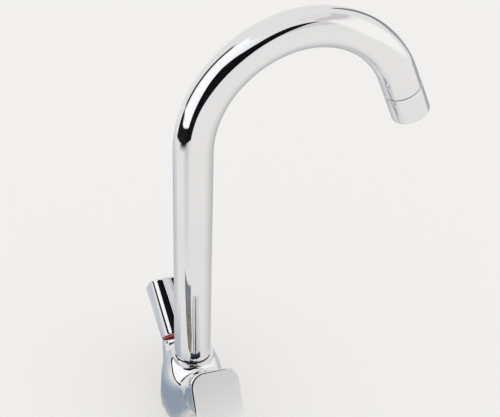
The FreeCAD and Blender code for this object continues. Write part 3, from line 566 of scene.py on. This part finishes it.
def above_arm(y, z):
    """How far a place lies from that axis, towards the spout."""
    return -y * math.cos(TILT) + (z - CROSS_HEIGHT) * math.sin(TILT)


def arm_distance(x, y, z):
    """Distance to the arm on the side where y is above zero."""
    along = along_arm(y, z)
    share = np.clip((along - ARM_ROOT) / (ARM_LENGTH - ARM_ROOT), 0.0, 1.0)
    half = ARM_ROOT_HALF + (ARM_END_HALF - ARM_ROOT_HALF) * share
    corner = ARM_ROOT_CORNER + (ARM_END_CORNER - ARM_ROOT_CORNER) * share
    gap_x = np.abs(x) - (half - corner)
    gap_up = np.abs(above_arm(y, z)) - (half - corner)
    outside = np.hypot(np.maximum(gap_x, 0.0), np.maximum(gap_up, 0.0))
    across = outside + np.minimum(np.maximum(gap_x, gap_up), 0.0) - corner
    return soft_max(soft_max(across, along - ARM_LENGTH, CAST_EDGE), ARM_ROOT - along, CAST_EDGE)


def saddle_distance(x, y, z):
    """Distance to the room over the saddles, left free between the collar and the arms."""
    over_arm = np.hypot(x, np.maximum(above_arm(y, z), 0.0)) - SADDLE_ARM_RADIUS
    floor = soft_min(z - SADDLE_HEIGHT, over_arm, SADDLE_BLEND)
    ridge = np.array([RIDGE_RUN, SADDLE_HEIGHT - BODY_HEIGHT])
    ridge /= np.linalg.norm(ridge)
    beyond_ridge = -(y - RIDGE_HALF) * ridge[1] + (z - BODY_HEIGHT) * ridge[0]
    off_neck = np.hypot(x, y) - COLLAR_RADIUS + NECK_INSET
    return soft_min(soft_min(floor, off_neck, NECK_BLEND), beyond_ridge, RIDGE_BLEND)


def hole_distance(x, y, z):
    """Distance to the nearest hole: socket, keeper screw, stud, gasket groove, pocket or inlet."""
    radius = np.hypot(x, y)
    groove_middle = sum(GASKET_RADII) / 2
    groove_half = (GASKET_RADII[1] - GASKET_RADII[0]) / 2
    off_pocket = np.hypot(x, above_arm(np.abs(y), z)) - POCKET_RADIUS
    holes = [np.maximum(radius - SOCKET_RADIUS, BODY_HEIGHT - SOCKET_DEPTH - z),
             np.maximum(np.hypot(y, z - BODY_HEIGHT + KEEPER_DEPTH) - KEEPER_RADIUS, -x),
             np.maximum(np.hypot(x + STUD_BACK, y) - STUD_RADIUS, z - STUD_DEPTH),
             np.maximum(np.abs(radius - groove_middle) - groove_half, z - GASKET_HEIGHT),
             np.maximum(off_pocket, ARM_LENGTH - POCKET_DEPTH - along_arm(np.abs(y), z))]
    for side in SIDES.values():
        off_inlet = np.hypot(x - INLET_FORWARD, y - side * INLET_SPACING / 2) - INLET_RADIUS
        holes.append(np.maximum(off_inlet, z - INLET_DEPTH))
    return np.minimum.reduce(holes)


def body_distance(points):
    """Distance to the casting, with its saddles and holes cut out."""
    x, signed_y, z = points[..., 0], points[..., 1], points[..., 2]
    y = np.abs(signed_y)
    column = outline_distance(np.stack([np.hypot(x, y), z], -1), column_outline())
    solid = soft_min(column, arm_distance(x, y, z), ARM_BLEND)
    solid = soft_max(solid, -z, CAST_EDGE)
    solid = soft_max(solid, along_arm(y, z) - ARM_LENGTH, CAST_EDGE)
    solid = soft_max(solid, saddle_distance(x, y, z), SADDLE_EDGE)
    solid = soft_max(solid, z - BODY_HEIGHT + CROWN_DROP, CROWN_EDGE)
    return soft_max(solid, -hole_distance(x, signed_y, z), HOLE_EDGE)


def gradient(distance, points):
    """Slope of a distance function, from its values on both sides of each point."""
    slopes = []
    for axis in range(3):
        shift = np.zeros(3)
        shift[axis] = DRAW_SLOPE
        slopes.append(distance(points + shift) - distance(points - shift))
    return np.stack(slopes, -1) / (2 * DRAW_SLOPE)


def surface_of(distance, low, high, step):
    """Quads over the surface where the distance is zero, a point to each grid cell it crosses.

    A cell's point is the mean of the places where the surface crosses the cell's edges, and the
    four cells round a crossed edge make one quad.
    """
    counts = [int(math.ceil((high[i] - low[i]) / step)) + 1 for i in range(3)]
    axes = [low[i] + step * np.arange(counts[i]) for i in range(3)]
    values = np.stack([distance(np.stack(np.meshgrid([x], axes[1], axes[2], indexing="ij"), -1))[0]
                       for x in axes[0]])
    inside = values < 0
    cells = tuple(count - 1 for count in counts)
    total = np.zeros(cells + (3,))
    hits = np.zeros(cells)
    crossings = []
    for axis in range(3):
        first = [slice(None)] * 3
        second = [slice(None)] * 3
        first[axis] = slice(0, -1)
        second[axis] = slice(1, None)
        one, two = values[tuple(first)], values[tuple(second)]
        crossed = inside[tuple(first)] != inside[tuple(second)]
        share = np.where(crossed, one / np.where(crossed, one - two, 1.0), 0.0)
        grid = np.indices(one.shape).astype(float)
        grid[axis] += share
        spot = np.moveaxis(grid, 0, -1)
        others = [i for i in range(3) if i != axis]
        for da in (0, 1):
            for db in (0, 1):
                source = [slice(None)] * 3
                source[others[0]] = slice(da, da + cells[others[0]])
                source[others[1]] = slice(db, db + cells[others[1]])
                mask = crossed[tuple(source)]
                total += np.where(mask[..., None], spot[tuple(source)], 0.0)
                hits += mask
        crossings.append(crossed)
    active = hits > 0
    number = np.full(cells, -1)
    number[active] = np.arange(active.sum())
    verts = np.asarray(low) + step * total[active] / hits[active][:, None]
    faces = []
    for axis, crossed in enumerate(crossings):
        others = [i for i in range(3) if i != axis]
        where = np.argwhere(crossed)
        keep = np.all([(where[:, o] > 0) & (where[:, o] < cells[o]) for o in others], axis=0)
        where = where[keep]
        quad = []
        for da, db in ((0, 0), (1, 0), (1, 1), (0, 1)):
            cell = where.copy()
            cell[:, others[0]] -= da
            cell[:, others[1]] -= db
            quad.append(number[cell[:, 0], cell[:, 1], cell[:, 2]])
        faces += np.stack(quad, -1).tolist()
    return verts, faces


def make_body():
    """The casting's mesh, its points drawn onto the surface and its shading from the slope."""
    reach_y = ARM_LENGTH * math.sin(TILT) + ARM_END_HALF * math.cos(TILT) + CAST_MARGIN
    low = (-BASE_RADIUS - CAST_MARGIN, -reach_y, -CAST_MARGIN)
    high = (BASE_RADIUS + CAST_MARGIN, reach_y, BODY_HEIGHT + CAST_MARGIN)
    step = CAST_STEP
    verts, faces = surface_of(body_distance, low, high, step)
    for _ in range(DRAW_ROUNDS):
        slope = gradient(body_distance, verts)
        size = np.maximum((slope ** 2).sum(-1), FLATTEST_SLOPE)
        move = (body_distance(verts) / size)[:, None] * slope
        verts = verts - np.clip(move, -step / 2, step / 2)
    piece = add_piece("body_casting", verts, faces, "body", "tap_body")
    normals = gradient(body_distance, verts)
    normals /= np.linalg.norm(normals, axis=1)[:, None]
    piece.data.normals_split_custom_set_from_vertices(normals.tolist())


# Studio, in metres and degrees: floor, sheets that only the chrome sees, world and camera
FLOOR_HALF = 3.0
FLOOR_COLOUR = (0.64, 0.63, 0.62)
FLOOR_GLOW = (0.27, 0.265, 0.258)
BACKGROUND = (0.87, 0.86, 0.845)
WORLD_STRENGTH = 0.96
BLACK = (0.006, 0.006, 0.008)

CAMERA_PLACE = (-0.17104, -0.60941, 0.61942)
CAMERA_HEADING, CAMERA_PITCH, CAMERA_ROLL = 0.337, 0.600, 0.039    # in radians
CAMERA_LENS = 78.46    # in millimetres, as its sensor
CAMERA_SENSOR = 36.0

# A card stands round the tap: its name, its distance from CARD_CENTRE, its stations, and over how
# many degrees it fades at its rim. A station is an azimuth, its lowest and highest elevation, and
# its grey or colour.
CARD_CENTRE = Vector((0.04, 0.0, 0.3))
CARD_STEP = 1.5    # between columns
CARD_ROWS = 28
CARDS = (
    ("window", 2.4,
     ((153, -6, 62, (1.15, 1.15, 1.15)), (176, -7, 62, (1.15, 1.15, 1.15)),
      (184, -16, 62, (1.13, 1.13, 1.14)), (206, -16, 62, (1.05, 1.07, 1.1)),
      (238, -8, 62, (0.86, 0.92, 0.96))), 3.0),
    ("window_ledge", 0.78,
     ((143, -24, -5, 0.02), (158, -25, -6, 0.012), (167, -25, -11, 0.012),
      (176, -25, -12, 0.012), (205, -25, -12, 0.012), (228, -25, -10, 0.012)), 1.2),
    ("window_post", 0.5, ((138, -8, 45, 0.02), (152, -8, 45, 0.04)), 2.2),
    ("dark_room", 0.78,
     ((-158, -25, 20, BLACK), (-153, -25, 33, BLACK), (-140, -22, 39, BLACK),
      (-134, -14, 40, BLACK), (-130, -7, 40, BLACK), (-125, -2, 41, BLACK),
      (-115, 6, 43, BLACK), (-105, 13, 48, BLACK), (-95, 23, 51, BLACK),
      (-85, 32, 53, BLACK), (-70, 41, 51.5, BLACK), (-56, 44, 47, BLACK)), 1.4),
    ("bright_wall", 2.4,
     ((-58, -6, 46, (1.04, 1.02, 0.99)), (8, -6, 46, (1.04, 1.02, 0.99))), 10.0),
    ("grey_wall", 2.35,
     ((-92, 24, 44, (0.72, 0.7, 0.69)), (-52, 24, 46, (0.71, 0.7, 0.69))), 5.0),
    ("grey_arch", 2.3,
     ((-58, 44, 60, (0.66, 0.63, 0.63)), (-20, 44, 60, (0.68, 0.65, 0.65)),
      (12, 44, 60, (0.69, 0.66, 0.66))), 3.0),
    ("ceiling", 2.35,
     ((-75, 56, 80, (0.86, 0.81, 0.81)), (10, 56, 80, (0.86, 0.81, 0.81))), 2.5),
    ("grey_corner", 2.3,
     ((20, -8, 12, (0.42, 0.42, 0.46)), (38, -8, 16, (0.34, 0.34, 0.38)),
      (44, -8, 34, (0.2, 0.2, 0.24)), (48, -8, 40, (0.16, 0.16, 0.2)),
      (54, -8, 36, (0.3, 0.3, 0.34))), 3.0),
)

# A mat is a sheet on the floor that only the chrome sees. Most mats are painted shade on the floor
# in reflections, darkest round the tap's foot, and window_glow is a painted pool of the window's
# light. Its
# entries: its name, the azimuths that it lies between, its stations, over how many degrees it fades
# at its sides, and its height over the floor. A station is a distance from the tap, a colour and
# its cover.
MAT_STEP = 3    # between columns
MAT_ROWS = 36
MAT_CROWDING = 1.6    # over one, rows lie closer together near the tap
MATS = (
    ("foot_shade", (30, 248),
     ((0.0255, (0.45, 0.46, 0.49), 0.8), (0.029, (0.37, 0.41, 0.46), 0.95),
      (0.034, (0.31, 0.36, 0.44), 1.0), (0.054, (0.31, 0.365, 0.45), 1.0),
      (0.068, (0.38, 0.44, 0.53), 0.8), (0.085, (0.6, 0.63, 0.68), 0.0)), 30.0, 0.0006),
    ("left_shade", (80, 190),
     ((0.055, (0.36, 0.42, 0.5), 0.0), (0.07, (0.36, 0.42, 0.5), 0.75),
      (0.09, (0.4, 0.46, 0.54), 0.8), (0.12, (0.5, 0.54, 0.6), 0.5),
      (0.16, (0.6, 0.62, 0.66), 0.0)), 20.0, 0.0009),
    # painted shade, tinted blue-grey, on the floor on the hot side and behind the tap, seen only in
    # the chrome
    ("window_side_shade", (56, 166),
     ((0.1, (0.5, 0.54, 0.6), 0.0), (0.14, (0.49, 0.54, 0.61), 0.7),
      (0.2, (0.52, 0.57, 0.63), 0.75), (0.3, (0.57, 0.61, 0.67), 0.8),
      (0.45, (0.62, 0.65, 0.7), 0.75), (0.7, (0.7, 0.72, 0.75), 0.0)), 34.0, 0.0011),
    ("back_shade", (20, 122),
     ((0.16, (0.42, 0.43, 0.46), 0.0), (0.3, (0.42, 0.43, 0.46), 0.75),
      (0.75, (0.42, 0.43, 0.46), 0.0)), 22.0, 0.0012),
    ("side_shade", (-50, 96),
     ((0.045, (0.45, 0.44, 0.43), 0.0), (0.08, (0.45, 0.44, 0.43), 0.75),
      (0.45, (0.45, 0.44, 0.43), 0.7), (0.8, (0.45, 0.44, 0.43), 0.0)), 92.0, 0.0015),
    # a painted soft shadow on the floor, seen only in the chrome as a faint grey streak on the
    # riser
    ("front_floor_shadow", (-166, -120),
     ((0.19, (0.45, 0.45, 0.46), 0.0), (0.27, (0.45, 0.45, 0.46), 0.3),
      (0.5, (0.4, 0.4, 0.42), 0.5), (0.8, (0.4, 0.4, 0.42), 0.0)), 22.0, 0.0018),
    ("window_glow", (150, 222),
     ((0.74, (1.12, 1.13, 1.14), 1.0), (2.3, (1.12, 1.13, 1.14), 1.0)), 8.0, 0.003),
    ("room_foot", (-198, -134),
     ((0.5, (0.3, 0.3, 0.31), 0.0), (0.57, (0.08, 0.08, 0.08), 0.6),
      (0.64, BLACK, 1.0), (0.82, BLACK, 1.0)), 26.0, 0.0024),
    ("corner_foot", (0, 60),
     ((0.5, (0.4, 0.4, 0.44), 0.0), (0.75, (0.4, 0.4, 0.44), 0.9),
      (1.6, (0.36, 0.36, 0.4), 0.95), (2.4, (0.36, 0.36, 0.4), 0.9)), 18.0, 0.0027),
)

# A crumpled dark patch on the floor in front of the tap, seen only in the chrome, with the light
# and shade of its folds painted into its colour. Its colour runs from the near end to the far one.
# Across it goes from a ragged dark rim to the other side, and the widths of the rim and of the
# fading margins (at the rim, the other side, the near and the far end) are shares of it.
CLOTH_CORNERS = ((-0.053, -0.066, 0.0), (-0.176, -0.09, 0.0), (-0.075, -0.158, 0.0),
                 (-0.022, -0.07, 0.0))
CLOTH_NEAR = (0.3, 0.25, 0.17)
CLOTH_FAR = (0.27, 0.31, 0.37)
CLOTH_HEIGHT = 0.0021
CLOTH_COLUMNS = 24
CLOTH_ROWS = 60
CLOTH_SEED = 7
FOLD_ACROSS, FOLD_ALONG, FOLD_RAGGED = 9.0, 23.0, 2.0    # in radians
BREAK_ACROSS, BREAK_ALONG = 7.0, 31.0    # in radians
# painted fold shading: the level in the folds' shade, and the gain up to their painted light
FOLD_DARK, FOLD_GAIN = 0.45, 0.75
RIM_PLACE, RIM_RAGGED, RIM_WIDTH = 0.03, 0.03, 0.16
RIM_DARK, RIM_GAIN = 0.12, 0.88
CLOTH_MARGINS = (0.03, 0.06, 0.05, 0.03)


def direction(azimuth, elevation):
    a = math.radians(azimuth)
    e = math.radians(elevation)
    return Vector((math.cos(e) * math.cos(a), math.cos(e) * math.sin(a), math.sin(e)))


def smooth_step(share):
    share = min(1.0, max(0.0, share))
    return share * share * (3.0 - 2.0 * share)


def colour_at(place, places, colours):
    """The colour at a place between places whose colours are given."""
    return [float(np.interp(place, places, [colour[k] for colour in colours])) for k in range(3)]


def grid_faces(columns, rows):
    faces = []
    for i in range(columns):
        for j in range(rows):
            a = i * (rows + 1) + j
            b = a + rows + 1
            faces.append((a, b, b + 1, a + 1))
    return faces


def card_material(name):
    """A card's light is the colour of its points, and it fades out where their cover is low."""
    material = new_material(name)
    nodes = material.node_tree.nodes
    links = material.node_tree.links
    nodes.remove(nodes["Principled BSDF"])
    tone = nodes.new("ShaderNodeAttribute")
    tone.attribute_name = "tone"
    glow = nodes.new("ShaderNodeEmission")
    clear = nodes.new("ShaderNodeBsdfTransparent")
    mix = nodes.new("ShaderNodeMixShader")
    cover = nodes.new("ShaderNodeAttribute")
    cover.attribute_name = "cover"
    links.new(tone.outputs["Color"], glow.inputs["Color"])
    links.new(cover.outputs["Fac"], mix.inputs["Fac"])
    links.new(clear.outputs["BSDF"], mix.inputs[1])
    links.new(glow.outputs["Emission"], mix.inputs[2])
    links.new(mix.outputs["Shader"], nodes["Material Output"].inputs["Surface"])
    return material


def link_card(name, verts, faces, tones, covers):
    """A sheet that only the chrome sees, in reflection."""
    mesh = bpy.data.meshes.new(name)
    mesh.from_pydata(verts, [], faces)
    mesh.attributes.new("cover", "FLOAT", "POINT").data.foreach_set("value", covers)
    colours = mesh.attributes.new("tone", "FLOAT_COLOR", "POINT")
    colours.data.foreach_set("color", [part for tone in tones for part in (*tone, 1.0)])
    mesh.materials.append(card_material(name))
    card = bpy.data.objects.new(name, mesh)
    bpy.context.scene.collection.objects.link(card)
    card.visible_camera = False
    card.visible_diffuse = False
    card.visible_shadow = False


def add_card(name, distance, stations, soft):
    azimuths, lows, highs, shades = zip(*stations)
    colours = [(shade,) * 3 if isinstance(shade, float) else shade for shade in shades]
    first, last = azimuths[0], azimuths[-1]
    columns = max(2, round((last - first) / CARD_STEP))
    verts, tones, covers = [], [], []
    for i in range(columns + 1):
        azimuth = first + (last - first) * i / columns
        low = float(np.interp(azimuth, azimuths, lows))
        high = float(np.interp(azimuth, azimuths, highs))
        tone = colour_at(azimuth, azimuths, colours)
        for j in range(CARD_ROWS + 1):
            elevation = low + (high - low) * j / CARD_ROWS
            edge = min(azimuth - first, last - azimuth, elevation - low, high - elevation)
            verts.append(CARD_CENTRE + distance * direction(azimuth, elevation))
            tones.append(tone)
            covers.append(smooth_step(edge / soft))
    link_card(name, verts, grid_faces(columns, CARD_ROWS), tones, covers)


def add_mat(name, azimuths, stations, soft, height):
    first, last = azimuths
    radii, colours, densities = zip(*stations)
    columns = max(2, round((last - first) / MAT_STEP))
    verts, tones, covers = [], [], []
    for i in range(columns + 1):
        azimuth = first + (last - first) * i / columns
        side = smooth_step(min(azimuth - first, last - azimuth) / soft)
        for j in range(MAT_ROWS + 1):
            reach = radii[0] + (radii[-1] - radii[0]) * (j / MAT_ROWS) ** MAT_CROWDING
            spot = reach * direction(azimuth, 0.0)
            verts.append(Vector((spot.x, spot.y, height)))
            tones.append(colour_at(reach, radii, colours))
            covers.append(side * float(np.interp(reach, radii, densities)))
    link_card(name, verts, grid_faces(columns, MAT_ROWS), tones, covers)


def add_cloth():
    chance = random.Random(CLOTH_SEED)
    ragged = [chance.uniform(-1.0, 1.0) for _ in range(CLOTH_ROWS + 1)]
    corners = [Vector(corner) for corner in CLOTH_CORNERS]
    verts, tones, covers = [], [], []
    for i in range(CLOTH_COLUMNS + 1):
        for j in range(CLOTH_ROWS + 1):
            s, t = i / CLOTH_COLUMNS, j / CLOTH_ROWS
            spot = corners[0].lerp(corners[1], t).lerp(corners[3].lerp(corners[2], t), s)
            verts.append(Vector((spot.x, spot.y, CLOTH_HEIGHT)))
            wave = math.sin(FOLD_ACROSS * s + FOLD_ALONG * t + FOLD_RAGGED * ragged[j])
            fold = 0.5 + 0.5 * wave * math.cos(BREAK_ALONG * t - BREAK_ACROSS * s)
            rim = smooth_step((s - RIM_PLACE - RIM_RAGGED * ragged[j]) / RIM_WIDTH)
            # painted light and shade of the folds, darker towards the ragged rim
            light = (FOLD_DARK + FOLD_GAIN * fold) * (RIM_DARK + RIM_GAIN * rim)
            tones.append([(a + (b - a) * t) * light for a, b in zip(CLOTH_NEAR, CLOTH_FAR)])
            ways_in = (s, 1 - s, t, 1 - t)
            edge = min(way / margin for way, margin in zip(ways_in, CLOTH_MARGINS))
            covers.append(smooth_step(edge))
    link_card("cloth", verts, grid_faces(CLOTH_COLUMNS, CLOTH_ROWS), tones, covers)


def make_world():
    """White light all round, and the pale background for the camera and in the chrome."""
    world = bpy.data.worlds.new("studio")
    bpy.context.scene.world = world
    world.use_nodes = True
    nodes = world.node_tree.nodes
    links = world.node_tree.links
    light = nodes["Background"]
    light.inputs["Color"].default_value = (1.0, 1.0, 1.0, 1.0)
    light.inputs["Strength"].default_value = WORLD_STRENGTH
    pale = nodes.new("ShaderNodeBackground")
    pale.inputs["Color"].default_value = (*BACKGROUND, 1.0)
    path = nodes.new("ShaderNodeLightPath")
    seen = path.outputs["Is Camera Ray"]
    for ray in ("Is Glossy Ray", "Is Transmission Ray"):
        either = nodes.new("ShaderNodeMath")
        either.operation = "MAXIMUM"
        links.new(seen, either.inputs[0])
        links.new(path.outputs[ray], either.inputs[1])
        seen = either.outputs["Value"]
    mix = nodes.new("ShaderNodeMixShader")
    links.new(seen, mix.inputs["Fac"])
    links.new(light.outputs["Background"], mix.inputs[1])
    links.new(pale.outputs["Background"], mix.inputs[2])
    links.new(mix.outputs["Shader"], nodes["World Output"].inputs["Surface"])


def make_floor():
    mesh = bpy.data.meshes.new("floor")
    corners = ((-1, -1), (1, -1), (1, 1), (-1, 1))
    verts = [(x * FLOOR_HALF, y * FLOOR_HALF, 0.0) for x, y in corners]
    mesh.from_pydata(verts, [], [(0, 1, 2, 3)])
    floor = bpy.data.objects.new("floor", mesh)
    bpy.context.scene.collection.objects.link(floor)
    paper = new_material("floor_paper")
    shader_input(paper, "Base Color").default_value = (*FLOOR_COLOUR, 1.0)
    shader_input(paper, "Roughness").default_value = 0.95
    shader_input(paper, "Specular IOR Level").default_value = 0.1
    shader_input(paper, "Emission Color").default_value = (*FLOOR_GLOW, 1.0)
    shader_input(paper, "Emission Strength").default_value = 1.0
    mesh.materials.append(paper)


def make_studio():
    make_world()
    make_floor()
    for card in CARDS:
        add_card(*card)
    for mat in MATS:
        add_mat(*mat)
    add_cloth()


def make_camera():
    data = bpy.data.cameras.new("camera")
    data.sensor_width = CAMERA_SENSOR
    data.lens = CAMERA_LENS
    forward = Vector((math.sin(CAMERA_HEADING) * math.cos(CAMERA_PITCH),
                      math.cos(CAMERA_HEADING) * math.cos(CAMERA_PITCH),
                      -math.sin(CAMERA_PITCH)))
    right = Vector((math.cos(CAMERA_HEADING), -math.sin(CAMERA_HEADING), 0.0))
    up = right.cross(forward)
    right_rolled = math.cos(CAMERA_ROLL) * right + math.sin(CAMERA_ROLL) * up
    up_rolled = -math.sin(CAMERA_ROLL) * right + math.cos(CAMERA_ROLL) * up
    camera = bpy.data.objects.new("camera", data)
    turn = Matrix((right_rolled, up_rolled, -forward)).transposed().to_4x4()
    camera.matrix_world = Matrix.Translation(CAMERA_PLACE) @ turn
    bpy.context.scene.collection.objects.link(camera)
    bpy.context.scene.camera = camera


finish_cad_nodes()
tube_end = make_spout_tube()
make_aerator(tube_end)
for side_name, side in SIDES.items():
    make_handle(side_name, side)
make_body()
make_collar()
make_studio()
make_camera()
bpy.context.scene.view_settings.view_transform = "Standard"
